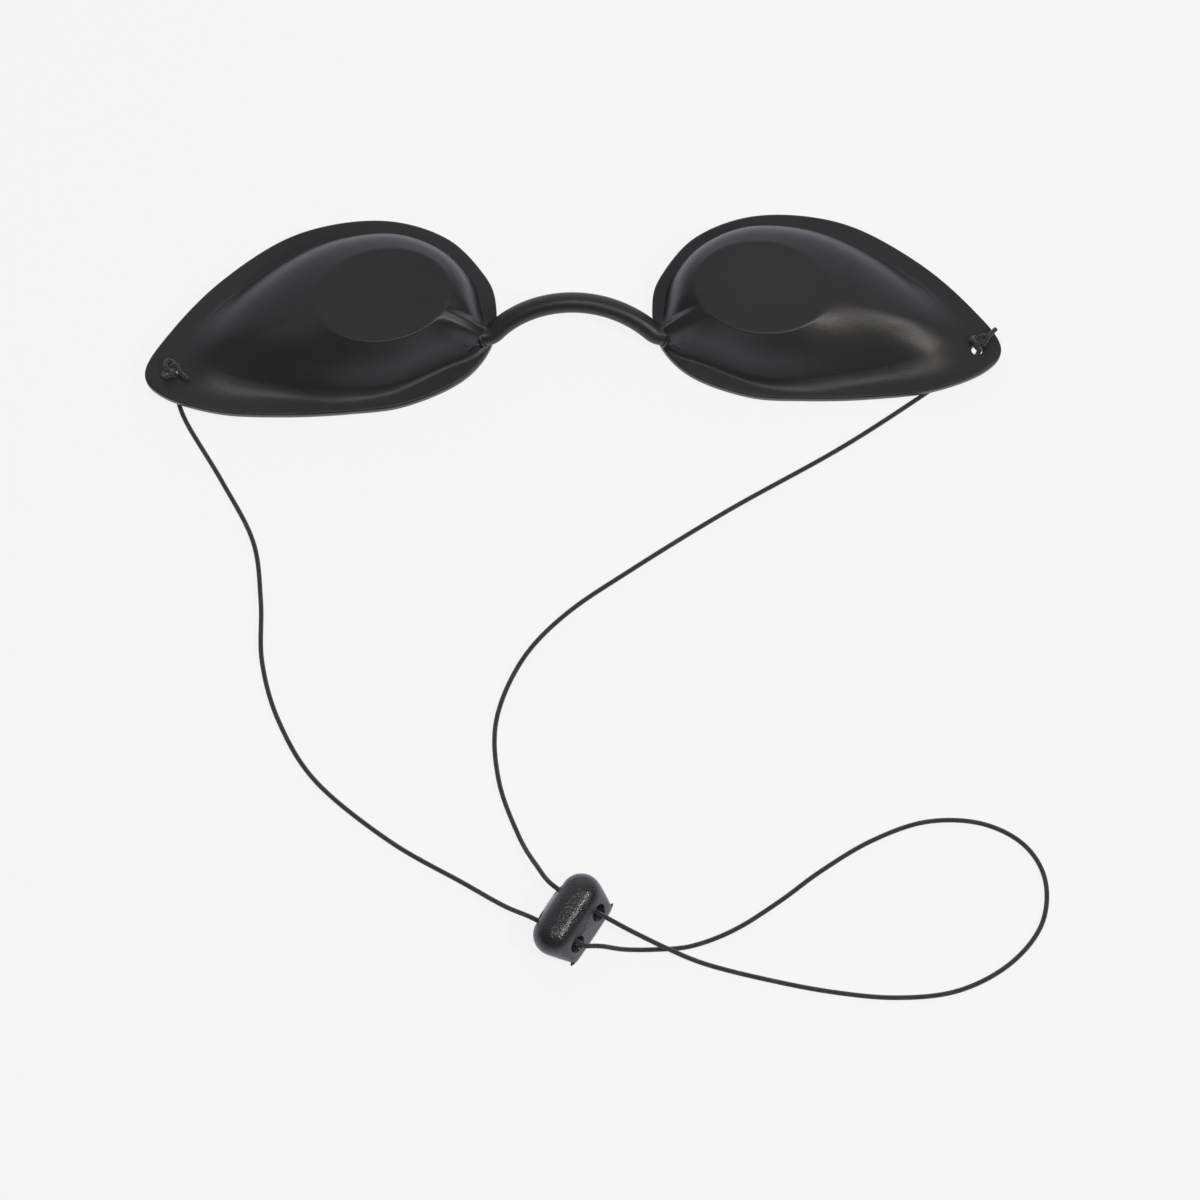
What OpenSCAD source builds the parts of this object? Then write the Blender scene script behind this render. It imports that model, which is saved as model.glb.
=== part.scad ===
// Light therapy goggles: two opaque eye cups, a flexible nose bridge, and an elastic head cord
// that runs through a two-hole bead. The goggles lie rim down on a table: X runs from the left
// cup to the right one, Y from cheek to brow and Z up from the table, away from the face.

/* [Eye cups] */
// Length of a cup from its nose end to the tip of its tab
cup_length = 60; // [56:0.5:66]
// Height of a cup from its cheek edge to its brow edge
cup_height = 33.8; // [32:0.2:38]
// Distance from the nose end of a cup to its eye centre
nose_reach = 18.4; // [17:0.1:20]
// Distance from the brow edge of a cup to its eye centre
brow_reach = 17.3; // [16.5:0.1:19]
// Distance between the two eye centres
eye_spacing = 64.2; // [61:0.1:70]
// How far the right cup's tab end drops, in degrees
right_tilt = 6; // [0:0.5:12]
// How far the left cup's tab end drops, in degrees
left_tilt = 10.3; // [0:0.1:14]
// How far the left eye centre lies below the right one
left_drop = 1.4; // [0:0.1:2]
// How much wider than the right cup's the left cup's rim is cut all round
left_margin = 0.5; // [0:0.1:0.8]

/* [Rim and tab] */
// Thickness of the rim
rim_thickness = 1.6; // [1.4:0.1:2.2]
// Radius on the rim's upper outer edge
rim_edge = 0.4; // [0.2:0.1:0.6]
// Width of the rim on the nose side
rim_nose = 2.3; // [2:0.1:3]
// Width of the rim on the brow side
rim_brow = 2.6; // [2:0.1:3]
// Width of the rim on the cheek side
rim_cheek = 3.2; // [2.5:0.1:4]
// Length of the tab at the temple end
tab_length = 9.2; // [8:0.1:12]
// How far the tip of the tab is lifted off the face
tab_lift = 2.4; // [2.2:0.1:3.2]
// Distance from the eye centre at which the rim begins to lift
lift_start = 16; // [10:0.5:20]

/* [Dome] */
// Height of the plateau above the plane that the rims rest on
dome_height = 10; // [9:0.2:13]
// Wall thickness of the dome
dome_wall = 1.2; // [1:0.1:1.6]
// Length of the oval plateau over the eye
plateau_length = 23; // [18:0.2:25]
// Height of the oval plateau over the eye
plateau_height = 16.7; // [13:0.1:18]
// Share of the rise that the brow side of the dome makes in its curved shoulder
dome_fullness = 0.65; // [0.4:0.05:0.8]
// The same share on the cheek side, where the slope is straighter
cheek_fullness = 0.25; // [0.1:0.05:0.6]

/* [Cord hole] */
// Diameter of the cord hole in each tab
hole_d = 2; // [1.9:0.1:2.8]
// Distance from the tip of the tab to the centre of the hole
hole_inset = 4; // [3.5:0.1:5]
// Distance of the hole below the eye centre
hole_drop = 5; // [4:0.1:5.6]

/* [Nose bridge] */
// Diameter of the flexible rod
rod_d = 3.5; // [3:0.1:4]
// Radial clearance between the rod's plug and its socket
plug_clearance = 0.05; // [0.02:0.01:0.1]
// Length of the plug at each end of the rod
plug_length = 3.6; // [3:0.1:4.2]
// Wall of the socket round the plug
socket_wall = 0.6; // [0.5:0.05:0.8]
// Distance from the nose end of the cup to the mouth of the socket
socket_inset = 2.5; // [2.2:0.1:3]
// Distance of the mouth of the socket below the eye centre
socket_drop = 8; // [7:0.1:8.6]
// Height of the socket's axis above the plane that the rims rest on
socket_height = 3.6; // [3.3:0.1:4.2]
// Turn of the socket's axis towards the eye centre, in degrees
socket_turn = 5; // [0:1:12]
// Radius of the elbow where the rod leaves the socket
elbow_r = 3; // [2.6:0.1:4]
// Angle at which the rod leaves each cup towards the brow, in degrees
rod_turn = 28; // [20:1:34]
// Angle at which the rod leaves each cup away from the face, in degrees
rod_pitch = 25; // [15:1:30]
// Length of the curve handle at the left end of the rod, which sets how far it bows
left_bow = 9; // [7:0.5:11]
// Length of the curve handle at the right end of the rod
right_bow = 11; // [8:0.5:12]

/* [Bead] */
// Length of the bead along the line through its two bores
bead_length = 14.8; // [13:0.2:18]
// Depth of the bead along its bores
bead_depth = 9.2; // [8:0.2:12]
// Height of the bead
bead_height = 7.6; // [7.2:0.1:9]
// Length of the flat base of the bead
bead_base = 10.8; // [10:0.2:12.8]
// Diameter of each bore
bore_d = 3; // [2.8:0.1:3.2]
// Diameter of the mouth of each bore
mouth_d = 4; // [3.6:0.1:4.4]
// Distance between the two bores
bore_spacing = 6.2; // [5.8:0.1:7]
// Height of the bores above the base
bore_height = 3.8; // [3.4:0.1:4]

/* [Cord] */
// Diameter of the elastic cord
cord_d = 0.8; // [0.6:0.05:0.8]
// Height of the knot's crossings above and below its middle
knot_rise = 0.68; // [0.66:0.02:0.8]
// Radius of the ring on which the three lobes of a knot turn
knot_lobe = 0.66; // [0.64:0.02:0.74]

/* [Hidden] */

cheek_reach = cup_height - brow_reach;
temple_reach = cup_length - nose_reach;
spline_steps = 5;
rod_sides = 20;
cord_sides = 8;
touch = 0.01;
cup_colour = "#2b2b2c";
bead_colour = "#29292a";
cord_colour = "#262626";

// Outlines of the rim and of the foot of the dome, as shares of the box that each one fills:
// from the nose end round by the brow, the tip of the tab and the cheek
rim_shape = [
    [0, 0.45], [0.02, 0.61], [0.1, 0.82], [0.24, 0.96], [0.41, 1], [0.58, 0.95], [0.76, 0.78],
    [0.91, 0.56], [1, 0.37], [0.96, 0.23], [0.82, 0.11], [0.64, 0.05], [0.46, 0.01], [0.3, 0],
    [0.13, 0.08], [0.03, 0.24]
];
dome_shape = [
    [0, 0.41], [0.02, 0.61], [0.1, 0.81], [0.24, 0.96], [0.41, 1], [0.58, 0.96], [0.76, 0.83],
    [0.92, 0.63], [1, 0.42], [0.95, 0.26], [0.83, 0.16], [0.67, 0.08], [0.53, 0.02], [0.36, 0],
    [0.17, 0.08], [0.02, 0.17]
];

// Smooth curves through given points
function between(a, b, c, d, t) =
    b + t * (c - a) / 2 + t * t * (2 * a - 5 * b + 4 * c - d) / 2
    + t * t * t * (3 * b - a - 3 * c + d) / 2;
function closed_curve(points, steps) =
    let (n = len(points))
    [for (i = [0:n - 1], j = [0:steps - 1])
        between(points[(i + n - 1) % n], points[i], points[(i + 1) % n], points[(i + 2) % n],
                j / steps)];
function open_curve(points, steps) =
    let (n = len(points))
    [for (i = [0:n - 2], j = [0:steps - 1])
        between(i == 0 ? 2 * points[0] - points[1] : points[i - 1], points[i], points[i + 1],
                i == n - 2 ? 2 * points[n - 1] - points[n - 2] : points[i + 2], j / steps),
     points[n - 1]];
function unit(v) = v / norm(v);
function mix(a, b, t) = a + (b - a) * t;
function turned(p, a) = [p[0] * cos(a) - p[1] * sin(a), p[0] * sin(a) + p[1] * cos(a)];
function eased(t) = let (k = min(1, max(0, t))) k * k * (3 - 2 * k);

// One cup, seen from the front, with its eye centre at the origin, its tab along +X, its brow
// along +Y and its rim on Z = 0
function boxed(shape, low, high) =
    [for (p = shape) [mix(low[0], high[0], p[0]), mix(low[1], high[1], p[1])]];
function rim_line(margin) = closed_curve(
    boxed(rim_shape, [-nose_reach - margin, -cheek_reach - margin],
          [temple_reach + margin, brow_reach + margin]), spline_steps);
dome_line = closed_curve(
    boxed(dome_shape, [rim_nose - nose_reach, rim_cheek - cheek_reach],
          [temple_reach - tab_length, brow_reach - rim_brow]), spline_steps);
around = len(dome_line);
function plateau_point(p, inset) =
    let (a = plateau_length / 2 - inset, b = plateau_height / 2 - inset,
         turn = atan2(p[1] / b, p[0] / a))
    [a * cos(turn), b * sin(turn)];
function lift(x) = tab_lift * eased((x - lift_start) / (temple_reach - lift_start));
shoulder_power = 3.5;
// Heights of the dome's foot where the cheek's slope ends and the brow's starts: a quick change
// at the nose, and a slow one at the temple
nose_change = [-8.6, -2.6];
temple_change = [-11.5, -2];
function fullness(p) =
    let (change = mix(nose_change, temple_change, eased(p[0] / 20)))
    mix(cheek_fullness, dome_fullness, eased((p[1] - change[0]) / (change[1] - change[0])));
function rise(t, full) = full * (1 - pow(1 - t, shoulder_power)) + (1 - full) * t;
function inset(from, to, d) = from + unit(to - from) * d;

// Rings of the cup's skin: share 0 of a slope is its foot and share 1 is the plateau's edge
function top_ring(t) =
    [for (p = dome_line)
        let (q = mix(p, plateau_point(p, 0), t), foot = rim_thickness + lift(q[0]))
        [q[0], q[1], mix(foot, dome_height, rise(t, fullness(p)))]];
function under_ring(t) =
    [for (p = dome_line)
        let (foot = inset(p, plateau_point(p, 0), dome_wall),
             q = mix(foot, plateau_point(p, dome_wall / 2), t))
        [q[0], q[1], mix(lift(q[0]), dome_height - dome_wall, rise(t, fullness(p)))]];
function rim_ring(line, share, in, z) =
    [for (i = [0:around - 1])
        let (edge = inset(line[i], dome_line[i], in),
             q = mix(edge, dome_line[i], share))
        [q[0], q[1], z + lift(q[0])]];
arc_inset = 1 - cos(45);
slope_shares = [0.9, 0.75, 0.6, 0.45, 0.32, 0.22, 0.14, 0.07];
under_shares = [0, 0.08, 0.2, 0.36, 0.6, 0.85, 1];
function cup_rings(line) = concat(
    [top_ring(1)],
    [for (t = slope_shares) top_ring(t)],
    [rim_ring(line, 1, 0, rim_thickness), rim_ring(line, 0.5, 0, rim_thickness),
     rim_ring(line, 0, rim_edge, rim_thickness),
     rim_ring(line, 0, rim_edge * arc_inset, rim_thickness - rim_edge * arc_inset),
     rim_ring(line, 0, 0, rim_thickness - rim_edge), rim_ring(line, 0, 0, rim_edge / 2),
     rim_ring(line, 0, rim_edge / 2, 0)],
    [for (t = under_shares) under_ring(t)]);

module skin(rings, first, last) {
    sides = len(rings[0]);
    count = len(rings);
    points = concat([first], [for (r = rings, p = r) p], [last]);
    faces = concat(
        [for (i = [0:sides - 1]) [0, 1 + i, 1 + (i + 1) % sides]],
        [for (r = [0:count - 2], i = [0:sides - 1], half = [0, 1])
            let (a = 1 + r * sides + i, b = 1 + r * sides + (i + 1) % sides)
            half == 0 ? [a, a + sides, b] : [b, a + sides, b + sides]],
        [for (i = [0:sides - 1])
            let (ring = 1 + (count - 1) * sides)
            [len(points) - 1, ring + (i + 1) % sides, ring + i]]);
    polyhedron(points, faces, convexity = 6);
}

hole_at = [temple_reach - hole_inset, -hole_drop];
socket_at = [socket_inset - nose_reach, -socket_drop, socket_height];
socket_d = rod_d + 2 * plug_clearance;
socket_depth = plug_length + plug_clearance;

// A round piece along the socket's axis, from the mouth into the cup
module along_socket(start, end, d) {
    translate(socket_at)
        rotate([0, 0, socket_turn])
            rotate([0, 90, 0])
                translate([0, 0, start])
                    cylinder(h = end - start, d = d, $fn = 48);
}

module eye_cup(margin) {
    difference() {
        union() {
            skin(cup_rings(rim_line(margin)), [0, 0, dome_height],
                 [0, 0, dome_height - dome_wall]);
            along_socket(0, socket_depth + socket_wall, socket_d + 2 * socket_wall);
        }
        along_socket(-rod_d, socket_depth, socket_d);
        translate([hole_at[0], hole_at[1], -touch])
            cylinder(h = dome_height, d = hole_d, $fn = 48);
    }
}

// Places of the two cups: the middle of their rims' common box is the origin
function on_right(p) = turned([p[0], p[1]], -right_tilt) + [eye_spacing / 2, 0];
function on_left(p) = turned([-p[0], p[1]], left_tilt) + [-eye_spacing / 2, -left_drop];
edges = concat([for (p = rim_line(0)) on_right(p)], [for (p = rim_line(left_margin)) on_left(p)]);
edges_x = [for (p = edges) p[0]];
edges_y = [for (p = edges) p[1]];
middle = [(max(edges_x) + min(edges_x)) / 2, (max(edges_y) + min(edges_y)) / 2];
function placed_right(p) = let (q = on_right(p) - middle) [q[0], q[1], p[2]];
function placed_left(p) = let (q = on_left(p) - middle) [q[0], q[1], p[2]];

module place_right() {
    translate([eye_spacing / 2 - middle[0], -middle[1], 0])
        rotate([0, 0, -right_tilt])
            children();
}
module place_left() {
    translate([-eye_spacing / 2 - middle[0], -left_drop - middle[1], 0])
        rotate([0, 0, left_tilt])
            mirror([1, 0, 0])
                children();
}

module left_cup() {
    color(cup_colour) place_left() eye_cup(left_margin);
}

module right_cup() {
    color(cup_colour) place_right() eye_cup(0);
}

// A tube of a given diameter along a list of points, whose rings start square to a given side
function carried(side, d) = unit(side - (side * d) * d);
function directions(points) =
    let (n = len(points))
    [for (i = [0:n - 1]) unit(points[min(n - 1, i + 1)] - points[max(0, i - 1)])];
function sides_along(ways, side, i = 0) =
    i >= len(ways) ? [] :
    let (s = carried(side, ways[i]))
    concat([s], sides_along(ways, s, i + 1));
function tube_ring(point, way, side, d, sides) =
    let (other = cross(way, side))
    [for (k = [0:sides - 1])
        point + d / 2 * (cos(360 * k / sides) * side + sin(360 * k / sides) * other)];
module tube(points, d, sides, side, first_way, last_way) {
    n = len(points);
    plain = directions(points);
    ways = [for (i = [0:n - 1]) i == 0 ? first_way : i == n - 1 ? last_way : plain[i]];
    across = sides_along(ways, side);
    skin([for (i = [0:n - 1]) tube_ring(points[i], ways[i], across[i], d, sides)],
         points[0], points[n - 1]);
}

// The flexible rod: a plug in each socket, an elbow at its mouth and one bowed curve between
function way_left(v) = let (q = turned([-v[0], v[1]], left_tilt)) [q[0], q[1], v[2]];
function way_right(v) = let (q = turned([v[0], v[1]], -right_tilt)) [q[0], q[1], v[2]];
plug_way = [-cos(socket_turn), -sin(socket_turn), 0];
rod_way = [-cos(rod_pitch) * cos(rod_turn), cos(rod_pitch) * sin(rod_turn), sin(rod_pitch)];
elbow_angle = acos(plug_way * rod_way);
elbow_steps = 4;
elbow = let (side = unit(rod_way - (rod_way * plug_way) * plug_way))
    [for (i = [0:elbow_steps])
        let (a = elbow_angle * i / elbow_steps)
        socket_at + elbow_r * (sin(a) * plug_way + (1 - cos(a)) * side)];
plug_end = socket_at - plug_length * plug_way;
half_rod = concat([plug_end], elbow);
left_half = [for (p = half_rod) placed_left(p)];
right_half = [for (i = [len(half_rod) - 1:-1:0]) placed_right(half_rod[i])];
bow_start = left_half[len(left_half) - 1];
bow_end = right_half[0];
bow_steps = 14;
bow = [for (i = [1:bow_steps - 1])
    let (t = i / bow_steps, s = 1 - t)
    s * s * s * bow_start + 3 * s * s * t * (bow_start + left_bow * way_left(rod_way))
    + 3 * s * t * t * (bow_end + right_bow * way_right(rod_way)) + t * t * t * bow_end];

module nose_bridge() {
    color(cup_colour)
        tube(concat(left_half, bow, right_half), rod_d, rod_sides, [0, 0, 1],
             way_left(plug_way), -way_right(plug_way));
}

// The bead lies on its flat base, with its bores level
bead_at = [-0.3, -105.2];
bead_turn = 56.5;
bead_along = [cos(bead_turn), sin(bead_turn), 0];
bead_across = [sin(bead_turn), -cos(bead_turn), 0];
bead_end_r = 3.4;
bead_corner = 4;
bead_skirt = 0.8;
nub = 0.4;
nub_length = 1.2;
top_back = 0.5;

// The base, with its two round corners at the back, and the two round ends, which stand a little
// behind the bead's middle, all inside one hull
module bead_body() {
    hull() {
        linear_extrude(bead_skirt) {
            translate([-bead_base / 2, -bead_depth / 2])
                square([bead_base, bead_depth / 2]);
            for (side = [-1, 1]) {
                translate([side * (bead_base / 2 - bead_corner), bead_depth / 2 - bead_corner])
                    circle(r = bead_corner, $fn = 32);
            }
        }
        for (side = [-1, 1]) {
            translate([side * (bead_length / 2 - bead_end_r), top_back, bead_height - bead_end_r])
                sphere(r = bead_end_r, $fn = 32);
        }
    }
}

// A pointed moulding nub at one end of the front base edge
module bead_nub(side) {
    translate([side * (bead_base / 2 - nub), -bead_depth / 2 + nub, nub])
        rotate([0, side * 90, 0])
            cylinder(h = nub_length, r1 = nub, r2 = nub / 4, $fn = 16);
}

// One bore with its two flared mouths
module bead_bore() {
    flare = mouth_d - bore_d;
    rotate([90, 0, 0]) {
        cylinder(h = 2 * bead_depth, d = bore_d, center = true, $fn = 48);
        for (end = [-1, 1]) {
            translate([0, 0, end * (bead_depth - flare) / 2])
                cylinder(h = flare, d1 = bore_d + (1 - end) * flare,
                         d2 = bore_d + (1 + end) * flare, center = true, $fn = 48);
        }
    }
}

module bead() {
    color(bead_colour)
        translate([bead_at[0], bead_at[1], 0])
            rotate([0, 0, bead_turn])
                difference() {
                    union() {
                        bead_body();
                        for (side = [-1, 1]) bead_nub(side);
                    }
                    for (side = [-1, 1]) {
                        translate([side * bore_spacing / 2, 0, bore_height])
                            bead_bore();
                    }
                }
}

// The cord runs from a knot on one tab, under the rim, to the bead, round its loop and back
cord_r = cord_d / 2;
table_gap = 0.05;
on_table_z = cord_r + table_gap;
turn_r = 2.25 * cord_d;
bore_end = 0.2;
// Where in its hole the cord stands, and which way it turns off below
left_pull = [-0.25, -0.45];
right_pull = [0.4, 0];
left_way = unit([0.35, -0.94, 0]);
right_way = unit([-0.78, -0.62, 0]);
function hole_foot(hole, side) = [hole[0] + side[0], hole[1] + side[1], on_table_z + turn_r];
left_foot = hole_foot(placed_left([hole_at[0], hole_at[1], 0]), left_pull);
right_foot = hole_foot(placed_right([hole_at[0], hole_at[1], 0]), right_pull);
function first_bend(foot, way) =
    [for (a = [0, 30, 60, 90]) foot + turn_r * ((1 - cos(a)) * way - [0, 0, sin(a)])];
bore_reach = bead_depth / 2 + bore_end;
bore_sag = [0, -0.4, -0.5];
// How far the left strand lies off the axis of its bore where it leaves at the front
front_shift = 0.5;
function bore_point(side, end) =
    let (along = side * bore_spacing / 2 + (side < 0 && end > 0 ? front_shift : 0))
    [bead_at[0], bead_at[1], bore_height] + along * bead_along
    + end * bore_reach * bead_across + (end < 0 ? bore_sag : [0, 0, 0]);

// Points of the free cord, in millimetres, on the table unless a height is given
left_points = [
    [-66.1, -19], [-59.6, -29.8], [-54, -40.5], [-52.4, -51], [-51.9, -61.5], [-48.8, -71.8],
    [-42.4, -82], [-30.1, -92], [-17.9, -99, 0.55], [-11.1, -103.1, 2]
];
right_points = [
    [58.2, -15.4], [44.6, -24.4], [26.2, -35], [9.6, -45.6], [-1.4, -53.4], [-8.6, -61.4],
    [-12.7, -71.6], [-12.2, -81.8], [-8.9, -91, 0.6], [-5.8, -96.5, 2.2]
];
loop_points = [
    [9.4, -107.3, 3], [15.4, -110, 1.6], [21.6, -112.4, 0.7], [30.6, -114.7], [41.8, -116.9],
    [52.6, -117.9], [62.6, -116.8], [71.1, -112.5], [76.6, -106], [77.5, -98.5], [74.1, -92.5],
    [67.1, -89], [58.1, -88.8], [49.1, -92], [40.8, -97], [34, -102], [26.6, -106.7],
    [19.6, -109.4], [13.6, -110], [8.5, -110.1, 1.1], [4.9, -109.9, 2.9]
];
function on_table(points) = [for (p = points) [p[0], p[1], len(p) > 2 ? p[2] : on_table_z]];
left_route = concat(first_bend(left_foot, left_way), on_table(left_points),
                    [bore_point(-1, -1), bore_point(-1, 1)]);
right_route = concat(first_bend(right_foot, right_way), on_table(right_points),
                     [bore_point(1, -1), bore_point(1, 1)]);
loop_route = concat([bore_point(1, 1)], on_table(loop_points), [bore_point(-1, 1)]);

module strand(route) {
    color(cord_colour)
        tube(open_curve(route, 2), cord_d, cord_sides, [bead_along[0], bead_along[1], 0],
             [0, 0, -1], bead_across);
}

module cord_left_strand() {
    strand(left_route);
}

module cord_right_strand() {
    strand(right_route);
}

module cord_loop() {
    color(cord_colour)
        tube(open_curve(loop_route, 2), cord_d, cord_sides, bead_along, bead_across, -bead_across);
}

// An overhand knot on top of the tab: a leg comes up through the hole, bends over, makes three
// lobes and leaves as a short tail
knot_steps = 30;
knot_start = 505;
knot_sweep = 290;
knot_bend = 0.6;
knot_gap = 0.2;
knot_z = rim_thickness + lift(hole_at[0]) + knot_gap + cord_r + knot_rise;
left_knot_turn = 20;
right_knot_turn = 4;

// The tails, in millimetres from the middle of their knot
left_tail = [[1.6, -0.9, 0.5], [2.3, -1.3, 0.3], [3.1, -1.9, 0]];
right_tail = [[1.1, -1.5, 0.7], [1.5, -1.7, 0.8], [1.85, -1.35, 0.95], [1.95, -0.7, 1.05],
              [2.05, 0, 1.1], [2.2, 0.6, 1.1], [2.4, 1.2, 1]];

function lobe(t) =
    [knot_lobe * (sin(t) + 2 * sin(2 * t)), knot_lobe * (cos(t) - 2 * cos(2 * t)),
     -knot_rise * sin(3 * t)];
function knot_route(foot, turn, tail) =
    let (lobes = [for (i = [0:knot_steps])
             let (p = lobe(knot_start - knot_sweep * i / knot_steps), q = turned(p, turn))
             [q[0], q[1], p[2]]],
         step = lobes[1] - lobes[0],
         way = unit([step[0], step[1], 0]),
         leg = lobes[0] - knot_bend * way,
         centre = [foot[0] - leg[0], foot[1] - leg[1], knot_z])
    concat([foot],
           [for (a = [0, 30, 60]) centre + leg + knot_bend * ((1 - cos(a)) * way
                                                              + [0, 0, sin(a) - 1])],
           [for (p = lobes) centre + p],
           [for (p = tail) centre + p]);

module knot(route) {
    last = len(route) - 1;
    color(cord_colour)
        tube(route, cord_d, cord_sides, [bead_along[0], bead_along[1], 0],
             [0, 0, 1], unit(route[last] - route[last - 1]));
}

module cord_left_knot() {
    knot(knot_route(left_foot, left_knot_turn, left_tail));
}

module cord_right_knot() {
    knot(knot_route(right_foot, right_knot_turn, right_tail));
}

left_cup();
right_cup();
nose_bridge();
bead();
cord_left_knot();
cord_right_knot();
cord_left_strand();
cord_right_strand();
cord_loop();
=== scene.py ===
import math

import bpy
import numpy as np
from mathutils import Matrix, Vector


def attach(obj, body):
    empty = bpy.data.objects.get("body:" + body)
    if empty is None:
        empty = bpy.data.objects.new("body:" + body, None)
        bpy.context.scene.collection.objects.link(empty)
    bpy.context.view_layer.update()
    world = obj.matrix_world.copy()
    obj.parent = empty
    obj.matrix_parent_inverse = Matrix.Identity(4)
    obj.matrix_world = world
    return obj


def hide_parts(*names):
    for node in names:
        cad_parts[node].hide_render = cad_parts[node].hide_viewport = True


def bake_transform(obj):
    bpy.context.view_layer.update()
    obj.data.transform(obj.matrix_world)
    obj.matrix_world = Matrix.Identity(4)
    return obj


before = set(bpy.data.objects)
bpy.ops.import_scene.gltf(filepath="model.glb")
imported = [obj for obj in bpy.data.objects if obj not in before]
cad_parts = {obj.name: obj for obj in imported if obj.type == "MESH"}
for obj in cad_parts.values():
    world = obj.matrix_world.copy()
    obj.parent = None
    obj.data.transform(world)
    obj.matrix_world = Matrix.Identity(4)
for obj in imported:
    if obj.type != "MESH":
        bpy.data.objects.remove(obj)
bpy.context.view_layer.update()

# Light therapy goggles, lying rim down. Sizes are in millimetres and angles in degrees. X runs from
# the left cup to the right one, Y from cheek to brow and Z up. A mesh is brought to metres as it is
# made.
millimetre = 0.001


# Functions of shape that the pieces share


def unit(vector):
    vector = np.asarray(vector, float)
    return vector / np.linalg.norm(vector, axis=-1, keepdims=True)


def mix(a, b, t):
    return a + (b - a) * t


# Points turned about Z: x' = x cos a - y sin a, y' = x sin a + y cos a
def turned(points, angle):
    a = math.radians(angle)
    out = np.array(points, float)
    x, y = out[..., 0].copy(), out[..., 1].copy()
    out[..., 0] = x * math.cos(a) - y * math.sin(a)
    out[..., 1] = x * math.sin(a) + y * math.cos(a)
    return out


# The ease curve k k (3 - 2 k), which starts and ends level
def eased(t):
    k = np.clip(t, 0, 1)
    return k * k * (3 - 2 * k)


# The larger of two heights, with a rounded corner where they meet: the corner is lifted by the
# square of how far the difference falls short of the width, over four widths
def softMax(a, b, width):
    return np.maximum(a, b) + np.maximum(width - np.abs(a - b), 0) ** 2 / (4 * width)


def softMin(a, b, width):
    return -softMax(-a, -b, width)


# A cubic through each pair of points, whose slope at a point is half the step between its neighbours
def curveThrough(points, steps, closed=False):
    p = np.asarray(points, float)
    if closed:
        a, b, c, d = np.roll(p, 1, 0), p, np.roll(p, -1, 0), np.roll(p, -2, 0)
    else:
        p = np.concatenate([2 * p[:1] - p[1:2], p, 2 * p[-1:] - p[-2:-1]])
        a, b, c, d = p[:-3], p[1:-2], p[2:-1], p[3:]
    a, b, c, d = a[:, None], b[:, None], c[:, None], d[:, None]
    t = (np.arange(steps) / steps)[None, :, None]
    out = b + t * (c - a) / 2 + t**2 * (2 * a - 5 * b + 4 * c - d) / 2
    out = (out + t**3 * (3 * b - a - 3 * c + d) / 2).reshape(-1, p.shape[1])
    return out if closed else np.concatenate([out, p[-2:-1]])


def pathLength(path):
    return float(np.linalg.norm(np.diff(path, axis=0), axis=1).sum())


def newObject(name, data):
    made = bpy.data.objects.new(name, data)
    bpy.context.scene.collection.objects.link(made)
    return made


# The faces of a closed grid: quads between its rings, then a fan at each end, about the two points
# that follow the rings
def gridFaces(rows, cols):
    col = np.arange(cols)
    beside = (col + 1) % cols
    start = np.arange(rows - 1)[:, None] * cols
    a, b = (start + col).ravel(), (start + beside).ravel()
    quads = np.stack([a, b, b + cols, a + cols], 1)
    end = (rows - 1) * cols
    firstFan = np.stack([beside, col, np.full(cols, rows * cols)], 1)
    lastFan = np.stack([end + col, end + beside, np.full(cols, rows * cols + 1)], 1)
    return quads, firstFan, lastFan


# The places of those faces' corners on the UV map: U runs once around, and V is each ring's own value
def gridUvs(rows, cols, along):
    u, step = np.arange(cols) / cols, 1 / cols
    around, low, high = np.tile(u, rows - 1), np.repeat(along[:-1], cols), np.repeat(along[1:], cols)
    quadUv = np.stack([around, low, around + step, low, around + step, high, around, high], 1)
    first, last = np.full(cols, along[0]), np.full(cols, along[-1])
    firstUv = np.stack([u + step, first, u, first, u + step / 2, first], 1)
    lastUv = np.stack([u, last, u + step, last, u + step / 2, last], 1)
    return quadUv.reshape(-1, 4, 2), firstUv.reshape(-1, 3, 2), lastUv.reshape(-1, 3, 2)


# A closed skin over rings of equal count, with a point that closes each end. Its faces are turned
# round when the sum of their signed tetrahedra, corner by corner, is below zero.
def skin(name, rings, first, last, along=None):
    rows, cols = rings.shape[:2]
    points = np.concatenate([rings.reshape(-1, 3), [first, last]])
    along = np.linspace(0, 1, rows) if along is None else np.asarray(along, float)
    parts, uvs = gridFaces(rows, cols), gridUvs(rows, cols, along)
    quads, firstFan, lastFan = parts
    halves = np.concatenate([quads[:, [0, 1, 2]], quads[:, [0, 2, 3]], firstFan, lastFan])
    p, q, r = points[halves[:, 0]], points[halves[:, 1]], points[halves[:, 2]]
    if np.einsum("ij,ij->", p, np.cross(q, r)) < 0:
        parts, uvs = [part[:, ::-1] for part in parts], [uv[:, ::-1] for uv in uvs]
    faces = [face for part in parts for face in part.tolist()]
    mesh = bpy.data.meshes.new(name)
    mesh.from_pydata((points * millimetre).tolist(), [], faces)
    corners = np.concatenate([uv.reshape(-1, 2) for uv in uvs])
    mesh.uv_layers.new(name="UVMap").data.foreach_set("uv", corners.ravel())
    mesh.polygons.foreach_set("use_smooth", np.ones(len(faces), bool))
    mesh.update()
    return newObject(name, mesh)


# The piece with others cut out of it, after which edges sharper than the crease stay sharp
def cutWith(piece, cutters, crease=38):
    for cutter in cutters:
        change = piece.modifiers.new("Cut", "BOOLEAN")
        change.operation, change.solver, change.object = "DIFFERENCE", "EXACT", cutter
    depsgraph = bpy.context.evaluated_depsgraph_get()
    made = bpy.data.meshes.new_from_object(piece.evaluated_get(depsgraph))
    piece.modifiers.clear()
    piece.data = made
    made.set_sharp_from_angle(angle=math.radians(crease))
    for cutter in cutters:
        bpy.data.objects.remove(cutter)


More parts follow.
